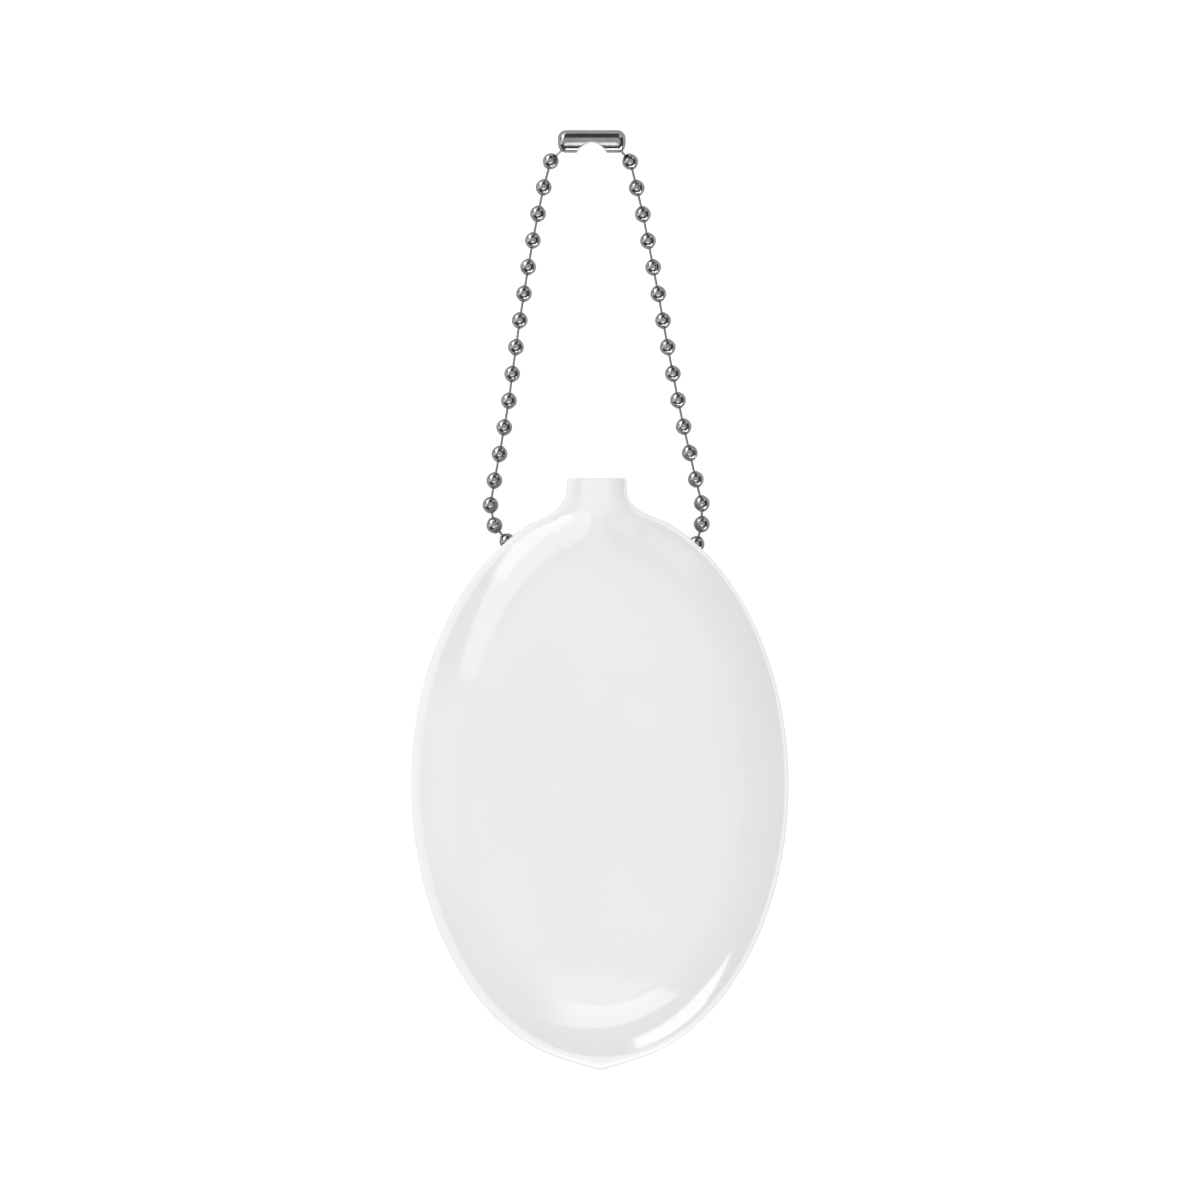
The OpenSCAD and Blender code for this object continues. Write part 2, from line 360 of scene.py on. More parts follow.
def shell_rings():
    """Closed rings: front from the spine out, back in to the lips' edge, then the lining."""
    t = np.arange(AROUND) * 2 * math.pi / AROUND
    rings = []

    def ring(xy, z):
        rings.append(np.column_stack([xy, z]))

    spine = spine_point(t)
    face_edge = edge_point(t, BORDER_W)
    for g in np.linspace(1, 0, FACE_STEPS + 1)[:-1]:
        xy = face_edge + g * (spine - face_edge)
        ring(xy, PART_Z + front_height(xy[:, 0], xy[:, 1], np.full(AROUND, BORDER_W)))
    for inset in np.linspace(BORDER_W, 0, BORDER_STEPS):
        xy = edge_point(t, inset)
        ring(xy, PART_Z + front_height(xy[:, 0], xy[:, 1], np.full(AROUND, inset)))
    for inset in np.linspace(0, LIP_INSET, BORDER_STEPS // 2):
        xy = edge_point(t, inset)
        ring(xy, PART_Z - back_depth(xy[:, 0], xy[:, 1], np.full(AROUND, inset)))
    for inset in np.linspace(LIP_INSET, WALL, LINING_STEPS):
        ring(edge_point(t, inset), np.full(AROUND, PART_Z - lining_rise(inset, BACK_H)))
    for inset in np.linspace(WALL, BORDER_W, LINING_STEPS)[1:]:
        ring(edge_point(t, inset), np.full(AROUND, PART_Z + lining_rise(inset, FRONT_H)))
    ring(spine, np.full(AROUND, PART_Z + FRONT_H - WALL))
    return rings


CUTTER_SIDES = 48


def cutter(name, start, end, radius):
    """A plain cylinder between two points."""
    way = end - start
    profile = [(radius, 0), (radius, way.length)]
    return add_mesh(name, *turned_shape(profile, start, way, CUTTER_SIDES), vinyl)


# The neck's bore is cut through the shell's upper end. The chain's two entry holes are cut along the
# line between the last two inner beads, from outside the shell to well inside it
BORE_CUT_FROM = TOP_Y - 3.0
BORE_CUT_TO = TOP_Y + 1.0
ENTRY_HOLE_R = 1.65
ENTRY_CUT_OUT = 2.75
ENTRY_CUT_IN = 3.95
SHELL_SHARP_DEG = 35


def purse_shell(centres):
    """The dome and the back's ring round the lips, lined, with the neck's bore and two entry holes."""
    rings = shell_rings()
    faces = ring_faces(len(rings), AROUND)
    shell = add_mesh("purse_shell", np.concatenate(rings), faces, vinyl)
    bore_from = Vector((-NECK_OFFSET, BORE_CUT_FROM, PART_Z))
    bore_to = Vector((-NECK_OFFSET, BORE_CUT_TO, PART_Z))
    cutters = [cutter("bore_cut", bore_from, bore_to, NECK_BORE / 2)]
    for hole, following in ((1, 2), (INNER, INNER - 1)):
        a, b = centres[f"inner_bead_{hole:02d}"], centres[f"inner_bead_{following:02d}"]
        way = (b - a).normalized()
        cutters.append(cutter("entry_cut", a - ENTRY_CUT_OUT * way, a + ENTRY_CUT_IN * way, ENTRY_HOLE_R))
    cut_away(shell, cutters)
    shell.data.shade_smooth()
    shell.data.set_sharp_from_angle(angle=math.radians(SHELL_SHARP_DEG))
    return shell


NECK_SIDES = 96
NECK_RINGS = 30
TUBE_FOOT_Y = TOP_Y - 1.3
# Within the dome the tube lies a little under the shell's surface
TUBE_SINK = 0.15
TUBE_SINK_RATE = 0.3
# How fast the section turns from its front to its back at its sides
EDGE_STEEPNESS = 12
# The mouth's outer edge is drawn in by this much across and in thickness, and its bore's edge is rounded
MOUTH_NARROWER = 0.3
MOUTH_THINNER = 0.22
BORE_ROUND = 0.35
MOUTH_ANGLES = (15, 30, 45, 60, 75, 90)
BORE_ANGLES = (90, 60, 30, 0)


def neck_angles():
    return np.arange(NECK_SIDES) * 2 * math.pi / NECK_SIDES


def neck_loop(y, narrower, thinner):
    """The neck's outer section at height y."""
    a = neck_angles()
    x = (neck_half_w(y) - narrower) * np.cos(a) - NECK_OFFSET
    ys = np.full(NECK_SIDES, y)
    in_dome = (x / HALF_W) ** 2 + ((y + DROP) / HALF_L) ** 2 < 1
    sunk = np.where(in_dome, np.minimum(TUBE_SINK_RATE * inset_of(x, ys), TUBE_SINK), 0)
    height = front_height(x, ys, np.zeros(NECK_SIDES)) - thinner - sunk
    return np.column_stack([x, ys, PART_Z + height * np.clip(EDGE_STEEPNESS * np.sin(a), -1, 1)])


def bore_loop(y, radius):
    a = neck_angles()
    x = radius * np.cos(a) - NECK_OFFSET
    return np.column_stack([x, np.full(NECK_SIDES, y), PART_Z + radius * np.sin(a)])


def neck_tube():
    """The open neck as a closed tube whose foot ends within the shell's wall."""
    mouth_y = NECK_TOP_Y - MOUTH_NARROWER
    loops = [neck_loop(y, 0, 0) for y in np.linspace(TUBE_FOOT_Y, mouth_y, NECK_RINGS)]
    for a in np.radians(MOUTH_ANGLES):
        inward = 1 - math.cos(a)
        y = mouth_y + MOUTH_NARROWER * math.sin(a)
        loops.append(neck_loop(y, MOUTH_NARROWER * inward, MOUTH_THINNER * inward))
    bore = NECK_BORE / 2
    for a in np.radians(BORE_ANGLES):
        inward = 1 - math.cos(a)
        loops.append(bore_loop(NECK_TOP_Y - BORE_ROUND * (1 - math.sin(a)), bore + BORE_ROUND * inward))
    loops.append(bore_loop(TUBE_FOOT_Y, bore))
    loops.append(loops[0])
    faces = ring_faces(len(loops), NECK_SIDES)
    return add_mesh("neck_tube", np.concatenate(loops), faces, vinyl, sharp_deg=60)


# Above this height the rim leaves the dome's oval and runs up the neck
RIM_SWITCH_Y = 38.7
# It moves aside with the neck over this length
OFFSET_BLEND = 3.0
# Its corners at the neck's end are rounded
RIM_CORNER = 0.5
CORNER_ANGLES = (30, 60, 85)
# How far the rim reaches into the dome and the neck
RIM_SUNK = 0.5
RIM_OVAL_POINTS = 200
RIM_NECK_POINTS = 30
# The rim is level with the neck at its top, and takes on its drop over this stretch
LEVEL_FROM = TOP_Y - 6.0
LEVEL_TO = TOP_Y + 1.0
# Its section's upper half: reach from the inner to the outer edge, and share of half its thickness
RIM_UPPER = [(0.0, 1.0), (0.55, 1.0), (0.82, 0.86), (0.96, 0.5)]
RIM_SECTION = RIM_UPPER + [(1.0, 0.0)] + [(reach, -rise) for reach, rise in reversed(RIM_UPPER)]


def rim_oval():
    """Right half of the rim's outer and inner edge round the dome, from its tip up."""
    out_w, out_l = HALF_W + RIM_W, HALF_L + RIM_W
    high = math.asin((RIM_SWITCH_Y + DROP) / out_l)
    t = np.linspace(-math.pi / 2, high, RIM_OVAL_POINTS)
    outer = np.column_stack([out_w * np.cos(t), out_l * np.sin(t) - DROP])
    side_y = -out_l * math.sqrt(1 - (TIP_HALF_W / out_w) ** 2) - DROP
    tip_y = -out_l - DROP - TIP_REACH
    near_tip = (outer[:, 0] < TIP_HALF_W) & (t < 0)
    outer[near_tip, 1] = tip_y + (side_y - tip_y) * outer[near_tip, 0] / TIP_HALF_W
    return outer, edge_point(t, RIM_SUNK)


def rim_neck():
    """Right half of the rim's outer and inner edge up the neck, with a rounded corner at its top."""
    top = NECK_TOP_Y - RIM_CORNER
    y = np.linspace(RIM_SWITCH_Y, top, RIM_NECK_POINTS)[1:]
    corner = np.radians(CORNER_ANGLES)
    round_x = rim_half_w(top) - RIM_CORNER * (1 - np.cos(corner))
    round_y = top + RIM_CORNER * np.sin(corner)
    outer_x = np.concatenate([rim_half_w(y), round_x])
    inner_x = np.concatenate([neck_half_w(y) - RIM_SUNK, np.full(len(corner), NECK_W / 2 - RIM_SUNK)])
    up = np.concatenate([y, round_y])
    return np.column_stack([outer_x, up]), np.column_stack([inner_x, up])


def rim_edges():
    """Outer and inner edge of the moulded rim, from the left of the neck round the bottom to its right."""
    edges = []
    for oval, neck in zip(rim_oval(), rim_neck()):
        offset = NECK_OFFSET * smoothstep(RIM_SWITCH_Y, RIM_SWITCH_Y + OFFSET_BLEND, neck[:, 1])
        aside = np.column_stack([offset, np.zeros(len(offset))])
        right = np.vstack([oval, neck - aside])
        left = np.vstack([oval, neck + aside]) * [-1, 1]
        edges.append(np.vstack([left[:0:-1], right]))
    return edges


def moulded_rim():
    """The thin rim at the parting plane, a little left of and below the dome, pointed at the bottom."""
    outer, inner = rim_edges()
    level_with_neck = smoothstep(LEVEL_FROM, LEVEL_TO, outer[:, 1])
    outer = outer - np.column_stack([np.full(len(outer), RIM_SHIFT), RIM_DROP * (1 - level_with_neck)])
    points = []
    for o, i in zip(outer, inner):
        for reach, rise in RIM_SECTION:
            xy = i + reach * (o - i)
            points.append((xy[0], xy[1], PART_Z + rise * RIM_T / 2))
    faces = ring_faces(len(outer), len(RIM_SECTION), (True, True))
    # The rim's material is a paler copy of the vinyl: painted light
    return add_mesh("moulded_rim", points, faces, lit_rim_vinyl, sharp_deg=50)


# Each of the back's two lips is made in three pieces, which meet along shared rows
# The middle pieces lie between these heights, and the end pieces beyond them
MID_LOW = -8.7
MID_HIGH = 7.3
LIP_COLUMNS = 26
MIDDLE_ROWS = 14
END_ROWS = 40
OUTLINE_ANGLES = 721
# The lips end this far short of their outline's ends, and are nowhere narrower than this
SLIT_END_GAP = 0.002
LEAST_WIDTH = 0.02


def lip_edge(y):
    """Half width of the lips' outline at height y."""
    t = np.linspace(-math.pi / 2, math.pi / 2, OUTLINE_ANGLES)
    xy = edge_point(t, LIP_INSET)
    return np.interp(y, xy[:, 1], xy[:, 0])


def lip_rows(low, high, count, crowd):
    """Heights of the rows, crowded towards the slit's end in the end pieces."""
    u = np.linspace(0, 1, count)
    if crowd:
        u = np.sin(u * math.pi / 2)
    return low + (high - low) * u


def lip_piece(name, side, low, high, count, crowd):
    """One closed piece of a lip between two heights."""
    slit_x = SLIT_W / 2
    rows = lip_rows(low, high, count, crowd)
    u = np.linspace(0, 1, LIP_COLUMNS)
    outer, inner = [], []
    for y in rows:
        edge = max(float(lip_edge(y)), slit_x + LEAST_WIDTH)
        x = edge + (slit_x - edge) * u
        ys = np.full(LIP_COLUMNS, y)
        inset = np.maximum(inset_of(x, ys), LIP_INSET)
        outer.append(np.column_stack([side * x, ys, PART_Z - back_depth(x, ys, inset)]))
        inner.append(np.column_stack([side * x, ys, PART_Z - lining_rise(inset, BACK_H)]))
    points = np.concatenate(outer + inner)
    faces = []
    layer = count * LIP_COLUMNS
    for j in range(count - 1):
        for i in range(LIP_COLUMNS - 1):
            quad = grid_quad(j, i, LIP_COLUMNS)
            faces.append(quad)
            faces.append(tuple(layer + v for v in reversed(quad)))
    for j in range(count - 1):
        for i in (0, LIP_COLUMNS - 1):
            a, b = j * LIP_COLUMNS + i, (j + 1) * LIP_COLUMNS + i
            faces.append((a, b, layer + b, layer + a))
    for j in (0, count - 1):
        for i in range(LIP_COLUMNS - 1):
            a = j * LIP_COLUMNS + i
            faces.append((a, a + 1, layer + a + 1, layer + a))
    return add_mesh(name, points, faces, vinyl)


def back_lips():
    """Six pieces, three to a lip, which meet along shared rows; the end pieces' rows crowd towards the
    slit's ends.
    """
    ends = edge_point(np.array([-math.pi / 2, math.pi / 2]), LIP_INSET)[:, 1]
    low_end, high_end = float(ends[0]) + SLIT_END_GAP, float(ends[1]) - SLIT_END_GAP
    spans = (
        ("low", MID_LOW, low_end, END_ROWS, True),
        ("middle", MID_LOW, MID_HIGH, MIDDLE_ROWS, False),
        ("high", MID_HIGH, high_end, END_ROWS, True),
    )
    for side, word in ((-1, "left"), (1, "right")):
        for part, start, stop, count, crowd in spans:
            piece = lip_piece(f"{word}_lip_{part}", side, start, stop, count, crowd)
            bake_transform(piece)
            if part == "middle":
                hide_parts(f"{word}_lip")


# The chain

# A bead's centre is fitted to the points that lie ever closer to its radius
FIT_REACHES = (0.6, 0.3, 0.1, 0.03, 0.01)


def bead_centre(node):
    """Centre of a node's bead, fitted to the points of its outer surface, in millimetres."""
    points = np.array([v.co for v in frame["nodes"][node].data.vertices]) / MM
    centre = np.median(points, axis=0)
    for reach in FIT_REACHES:
        near = points[np.abs(np.linalg.norm(points - centre, axis=1) - BEAD_R) < reach]
        rows = np.column_stack([2 * near, np.ones(len(near))])
        centre = np.linalg.lstsq(rows, (near**2).sum(1), rcond=None)[0][:3]
    return Vector(centre)


def chain_order():
    """Names of the chain's nodes from the left clasp bead round to the right one."""
    left = [f"left_bead_{i:02d}" for i in range(STRAND, 0, -1)]
    inner = [f"inner_bead_{i:02d}" for i in range(1, INNER + 1)]
    right = [f"right_bead_{i:02d}" for i in range(1, STRAND + 1)]
    return ["left_clasp_bead"] + left + inner + right + ["right_clasp_bead"]


# The bead's collars, holes and seam, in millimetres and radians
COLLAR = 0.075
COLLAR_SPREAD = 0.24
HOLE_ANGLE = 0.245
SEAM_DEPTH = 0.035
SEAM_WIDTH = 0.045
BEAD_AROUND = 56
BEAD_RINGS = 30
# Angles of the columns at the seam, and where the even spacing of the others begins beside it
SEAM_COLUMNS = [-0.1, -0.05, -0.02, 0.02, 0.05, 0.1]
PLAIN_FROM = 0.16
# The inside has one ring for this many of the outside
INNER_RING_STEP = 3


def bead_mesh(centre, axis, spin):
    """A hollow rolled bead: collars at its two holes and a seam down one side."""
    turn = axis.to_track_quat("Z", "Y").to_matrix()
    plain = np.linspace(PLAIN_FROM, 2 * math.pi - PLAIN_FROM, BEAD_AROUND - len(SEAM_COLUMNS))
    around = np.concatenate([plain, SEAM_COLUMNS])
    lat = np.linspace(HOLE_ANGLE, math.pi - HOLE_ANGLE, BEAD_RINGS)
    from_hole = np.minimum(lat, math.pi - lat) - HOLE_ANGLE
    outer_r = BEAD_R + COLLAR * np.exp(-((from_hole / COLLAR_SPREAD) ** 2))
    inner_r = outer_r - BEAD_WALL
    rows = [(r, a, True) for r, a in zip(outer_r, lat)]
    rows += [(r, a, False) for r, a in zip(inner_r[::-INNER_RING_STEP], lat[::-INNER_RING_STEP])]
    rows.append(rows[0])
    points = []
    for radius, a, outside in rows:
        groove = SEAM_DEPTH * np.exp(-((around / SEAM_WIDTH) ** 2)) if outside else 0 * around
        r = radius - groove
        x, y = r * math.sin(a) * np.cos(around + spin), r * math.sin(a) * np.sin(around + spin)
        z = r * math.cos(a)
        for p in np.column_stack([x, y, z]):
            points.append(centre + turn @ Vector(p))
    return points, ring_faces(len(rows), BEAD_AROUND)


# A wire starts this far off its bead's centre and ends a little short of the next one's. It thickens
# towards its two flat heads
NEAR_HEAD = 0.81
HEAD_SINK = 0.15
HEAD_R = 0.42
HEAD_T = 0.2
HEAD_EDGE_R = 0.8 * HEAD_R
THICK_R = 1.25 * WIRE_R
THICK_FROM_HEAD = 0.06
WIRE_FROM_HEAD = 0.18
TIP_R = 0.02
WIRE_SIDES = 20
# Where the loop is open, the wire ends this far short of the last bead
OPEN_GAP = 0.1


def head_profile(middle):
    half = HEAD_T / 2
    return [(HEAD_EDGE_R, middle - half), (HEAD_R, middle), (HEAD_EDGE_R, middle + half)]


def wire_mesh(start, end):
    """A link wire with a flattened head at each end, inside the beads."""
    way = end - start
    first, last = NEAR_HEAD, way.length - HEAD_SINK
    half = HEAD_T / 2
    profile = [(TIP_R, first - half)] + head_profile(first)
    profile += [(THICK_R, first + half + THICK_FROM_HEAD), (WIRE_R, first + half + WIRE_FROM_HEAD)]
    profile += [(WIRE_R, first + (last - first) * k / 4) for k in (1, 2, 3)]
    profile += [(WIRE_R, last - half - WIRE_FROM_HEAD), (THICK_R, last - half - THICK_FROM_HEAD)]
    profile += head_profile(last) + [(TIP_R, last + half)]
    return turned_shape(profile, start, way, WIRE_SIDES)


def open_wire_mesh(start, end):
    """The wire that ends just short of the last bead, where the loop is open."""
    way = end - start
    stop = way.length - BEAD_R - OPEN_GAP
    profile = [(TIP_R, NEAR_HEAD - HEAD_T / 2), (HEAD_R, NEAR_HEAD), (WIRE_R, NEAR_HEAD + HEAD_T)]
    profile += [(WIRE_R, stop), (TIP_R, stop)]
    return turned_shape(profile, start, way, WIRE_SIDES)


BEAD_SEED = 7


def wires_of(node, centres, before, after):
    """The wires that belong to a node's bead, as points and faces."""
    here = centres[node]
    last_bead = f"right_bead_{STRAND}"
    if node == "right_clasp_bead":
        return [open_wire_mesh(here, centres[last_bead])]
    if node in ("left_clasp_bead", last_bead):
        return []
    wires = [wire_mesh(here, before if node.startswith("left") else after)]
    if node == "inner_bead_01":
        wires.append(wire_mesh(here, centres["left_bead_01"]))
    return wires


def chain(centres):
    """Beads and wires from one clasp bead to the other. A bead's seam lies at a seeded random angle."""
    order = chain_order()
    rng = random.Random(BEAD_SEED)
    for place, node in enumerate(order):
        here = centres[node]
        before = centres[order[place - 1]] if place > 0 else None
        after = centres[order[place + 1]] if place < len(order) - 1 else None
        axis = ((after or here) - (before or here)).normalized()
        points, faces = bead_mesh(here, axis, rng.uniform(0, 2 * math.pi))
        objs = [add_mesh(f"{node}_skin", points, faces, nickel, sharp_deg=50)]
        for wire in wires_of(node, centres, before, after):
            # The wires' darker nickel is painted shade
            objs.append(add_mesh("wire", *wire, shaded_wire_nickel, sharp_deg=50))
        piece = join_meshes(f"{node}_skin", objs) if len(objs) > 1 else objs[0]
        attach(piece, body_of_node(node))
        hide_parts(node)


def body_of_node(node):
    for body, members in frame["record"]["behaviour"]["bodies"].items():
        if node in members:
            return body
    raise ValueError(node)


# The clasp: a tube with half-closed ends, a slot along it and an arched notch in the slot's middle
CLASP_L = 10.2
CLASP_R = 1.8
CLASP_SHEET = 0.3
CLASP_CORNER = 1.08
CLASP_BEVEL = 0.07
CLASP_SHARP_DEG = 50
# Each flat end has a small hole, and a ring at this share of its radius
END_HOLE_R = 0.12
END_MIDDLE = 0.6
SLOT_W = 1.5
NOTCH_HALF_W = 2.4
NOTCH_H = 1.75
# Half angle of the opening where the end is narrower than the slot, and the sine at which it stops
END_OPENING_DEG = 86
SINE_LIMIT = 0.999
CLASP_STEPS = 48
CLASP_COLUMNS = 49
CORNER_STEPS = 9


def clasp_profile():
    """(distance along the axis, radius) of the clasp's middle sheet, from one flat end to the other."""
    half, corner = CLASP_L / 2 - CLASP_SHEET / 2, CLASP_CORNER
    r = CLASP_R - CLASP_SHEET / 2
    left = [(-half, END_HOLE_R), (-half, (r - corner) * END_MIDDLE), (-half, r - corner)]
    for a in np.linspace(0, math.pi / 2, CORNER_STEPS)[1:]:
        left.append((-half + corner * (1 - math.cos(a)), r - corner + corner * math.sin(a)))
    start = -half + corner
    middle = [(start + (-2 * start) * k / CLASP_STEPS, r) for k in range(1, CLASP_STEPS)]
    return left + middle + [(-s, radius) for s, radius in reversed(left)]


def clasp_gap(s, r):
    """Half angle of the slot or the notch at a distance along the axis and a radius."""
    if r > SLOT_W / 2:
        slot = math.asin(min(SLOT_W / 2 / r, SINE_LIMIT))
    else:
        slot = math.radians(END_OPENING_DEG)
    if abs(s) >= NOTCH_HALF_W:
        return slot
    notch_r = (NOTCH_HALF_W**2 + NOTCH_H**2) / (2 * NOTCH_H)
    edge_y = -CLASP_R + NOTCH_H - notch_r + math.sqrt(notch_r**2 - s**2)
    return max(slot, math.acos(min(max(-edge_y / r, -1), 1)))


def clasp_sheet(centre):
    """A rolled sheet with a slot along its lower side that widens into an arched notch."""
    points = []
    profile = clasp_profile()
    for s, r in profile:
        gap = clasp_gap(s, r)
        for angle in np.linspace(gap, 2 * math.pi - gap, CLASP_COLUMNS):
            points.append(centre + Vector((s, -r * math.cos(angle), -r * math.sin(angle))))
    faces = []
    for j in range(len(profile) - 1):
        for i in range(CLASP_COLUMNS - 1):
            faces.append(grid_quad(j, i, CLASP_COLUMNS))
    sheet = add_mesh("clasp_sheet", points, faces, nickel, sharp_deg=60)
    thick = sheet.modifiers.new("sheet", "SOLIDIFY")
    thick.thickness = CLASP_SHEET * MM
    thick.offset = 0
    thick.use_even_offset = False
    round_off = sheet.modifiers.new("rounded", "BEVEL")
    round_off.width = CLASP_BEVEL * MM
    round_off.segments = 2
    round_off.limit_method = "ANGLE"
    round_off.angle_limit = math.radians(CLASP_SHARP_DEG)
    bake_modifiers(sheet)
    sheet.data.shade_smooth()
    sheet.data.set_sharp_from_angle(angle=math.radians(CLASP_SHARP_DEG))
    return sheet


# Materials

# Most of a noise's values lie between these
NOISE_SPAN = (0.3, 0.7)


def new_material(name):
    material = bpy.data.materials.new(name)
    material.use_nodes = True
    nodes = material.node_tree.nodes
    shader = next(n for n in nodes if n.type == "BSDF_PRINCIPLED")
    return material, nodes, material.node_tree.links, shader


def noise(nodes, links, coords, scale, detail, roughness=0.5):
    node = nodes.new("ShaderNodeTexNoise")
    node.inputs["Scale"].default_value = scale
    node.inputs["Detail"].default_value = detail
    node.inputs["Roughness"].default_value = roughness
    links.new(coords.outputs["Object"], node.inputs["Vector"])
    return node


def ramp(nodes, links, source, low, high):
    """Grey ramp from low to high over a noise's value."""
    node = nodes.new("ShaderNodeValToRGB")
    for element, colour, position in zip(node.color_ramp.elements, (low, high), NOISE_SPAN):
        element.color = (colour, colour, colour, 1)
        element.position = position
    links.new(source, node.inputs["Fac"])
    return node


def map_range(nodes, links, source, low, high):
    """A noise's value, which lies about 0.5, stretched from low to high."""
    node = nodes.new("ShaderNodeMapRange")
    node.inputs["From Min"].default_value = NOISE_SPAN[0]
    node.inputs["From Max"].default_value = NOISE_SPAN[1]
    node.inputs["To Min"].default_value = low
    node.inputs["To Max"].default_value = high
    links.new(source, node.inputs["Value"])
    return node


def math_node(nodes, links, operation, *values):
    """Output of a math node. Each input is a socket or a number."""
    node = nodes.new("ShaderNodeMath")
    node.operation = operation
    for socket, value in zip(node.inputs, values):
        if isinstance(value, (int, float)):
            socket.default_value = value
        else:
            links.new(value, socket)
    return node.outputs[0]


def bump(nodes, links, source, strength, distance, normal=None):
    node = nodes.new("ShaderNodeBump")
    node.inputs["Strength"].default_value = strength
    node.inputs["Distance"].default_value = distance
    links.new(source, node.inputs["Height"])
    if normal is not None:
        links.new(normal.outputs["Normal"], node.inputs["Normal"])
    return node


def vinyl_material(name, dark, light, painted_neck_light):
    """White slush-moulded vinyl: glossy, with clouded tint, patches of wear, faint waves and fine grain.
    Towards the neck its colour is raised by a gain, which is painted light.
    """
    material, nodes, links, shader = new_material(name)
    coords = nodes.new("ShaderNodeTexCoord")
    shader.inputs["IOR"].default_value = 1.5
    cloud = noise(nodes, links, coords, scale=60, detail=3)
    tint = ramp(nodes, links, cloud.outputs["Fac"], dark, light)
    # Painted light: the base colour is raised between two heights towards the neck
    place = nodes.new("ShaderNodeSeparateXYZ")
    links.new(coords.outputs["Object"], place.inputs["Vector"])
    neck_brightening = nodes.new("ShaderNodeMapRange")
    neck_brightening.interpolation_type = "SMOOTHSTEP"
    neck_brightening.inputs["From Min"].default_value = MM * NECK_LIGHT_FROM
    neck_brightening.inputs["From Max"].default_value = MM * NECK_LIGHT_TO
    neck_brightening.inputs["To Min"].default_value = 1.0
    neck_brightening.inputs["To Max"].default_value = painted_neck_light
    links.new(place.outputs["Y"], neck_brightening.inputs["Value"])
    lit_colour = nodes.new("ShaderNodeVectorMath")
    lit_colour.operation = "SCALE"
    links.new(tint.outputs["Color"], lit_colour.inputs[0])
    links.new(neck_brightening.outputs["Result"], lit_colour.inputs["Scale"])
    links.new(lit_colour.outputs["Vector"], shader.inputs["Base Color"])
    patch = noise(nodes, links, coords, scale=140, detail=5, roughness=0.6)
    gloss = map_range(nodes, links, patch.outputs["Fac"], low=0.07, high=0.11)
    links.new(gloss.outputs["Result"], shader.inputs["Roughness"])
    waves = noise(nodes, links, coords, scale=90, detail=1)
    wave = bump(nodes, links, waves.outputs["Fac"], strength=0.05, distance=0.0006)
    grains = noise(nodes, links, coords, scale=2600, detail=2)
    grain = bump(nodes, links, grains.outputs["Fac"], strength=0.02, distance=0.00004, normal=wave)
    links.new(grain.outputs["Normal"], shader.inputs["Normal"])
    return material


def nickel_material(name, dark, light):
    """Bright nickel plate on rolled steel, with a clouded tint, rubbed patches and faint dents."""
    material, nodes, links, shader = new_material(name)
    coords = nodes.new("ShaderNodeTexCoord")
    shader.inputs["Metallic"].default_value = 1.0
    cloud = noise(nodes, links, coords, scale=900, detail=4)
    tint = ramp(nodes, links, cloud.outputs["Fac"], dark, light)
    links.new(tint.outputs["Color"], shader.inputs["Base Color"])
    rub = noise(nodes, links, coords, scale=1500, detail=5, roughness=0.6)
    gloss = map_range(nodes, links, rub.outputs["Fac"], low=0.05, high=0.1)
    links.new(gloss.outputs["Result"], shader.inputs["Roughness"])
    dents = noise(nodes, links, coords, scale=1100, detail=2)
    dented = bump(nodes, links, dents.outputs["Fac"], strength=0.06, distance=0.00005)
    links.new(dented.outputs["Normal"], shader.inputs["Normal"])
    return material


# Between these heights the vinyl's colour is raised towards the neck, which paints light onto the neck. The
# rim has a paler copy of the vinyl, which paints light onto the rim
NECK_LIGHT_FROM = 36.5
NECK_LIGHT_TO = 41.0

vinyl = vinyl_material("white_vinyl", dark=0.785, light=0.805, painted_neck_light=1.06)
# A paler copy of the vinyl for the rim, which paints light onto it
lit_rim_vinyl = vinyl_material("lit_rim_vinyl", dark=0.86, light=0.88, painted_neck_light=1.0)
nickel = nickel_material("nickel_plate", dark=0.45, light=0.56)
# A darker copy of the nickel for the wires, which paints shade onto them
shaded_wire_nickel = nickel_material("shaded_wire_nickel", dark=0.36, light=0.46)


# Stage

# The table top glows by this much to the camera and in glossy surfaces, and lies just under the purse
FLOOR_LIFT = 0.75
FLOOR_GLOSS_LIFT = 0.05
FLOOR_SIZE = 10.0
FLOOR_Z = -0.0001


def floor_material():
    """A pale table top, white to the camera, that keeps the object's shadow."""
    material, nodes, links, shader = new_material("table_white")
    shader.inputs["Base Color"].default_value = (0.5, 0.5, 0.5, 1)
    shader.inputs["Roughness"].default_value = 0.8
    shader.inputs["Specular IOR Level"].default_value = 0.1
    path = nodes.new("ShaderNodeLightPath")
    to_camera = math_node(nodes, links, "MULTIPLY", path.outputs["Is Camera Ray"], FLOOR_LIFT)
    to_gloss = math_node(nodes, links, "MULTIPLY", path.outputs["Is Glossy Ray"], FLOOR_GLOSS_LIFT)
    lift = math_node(nodes, links, "ADD", to_camera, to_gloss)
    shader.inputs["Emission Color"].default_value = (1, 1, 1, 1)
    links.new(lift, shader.inputs["Emission Strength"])
    return material


def floor():
    mesh = bpy.data.meshes.new("floor")
    half = FLOOR_SIZE / 2
    corners = [(-half, -half, 0), (half, -half, 0), (half, half, 0), (-half, half, 0)]
    mesh.from_pydata(corners, [], [(0, 1, 2, 3)])
    obj = bpy.data.objects.new("floor", mesh)
    bpy.context.scene.collection.objects.link(obj)
    obj.data.materials.append(floor_material())
    obj.location.z = FLOOR_Z


def area_lamp(name, width, height, power):
    data = bpy.data.lights.new(name, "AREA")
    data.shape = "RECTANGLE"
    data.size = width
    data.size_y = height
    data.energy = power
    obj = bpy.data.objects.new(name, data)
    bpy.context.scene.collection.objects.link(obj)
    obj.visible_camera = False
    return obj


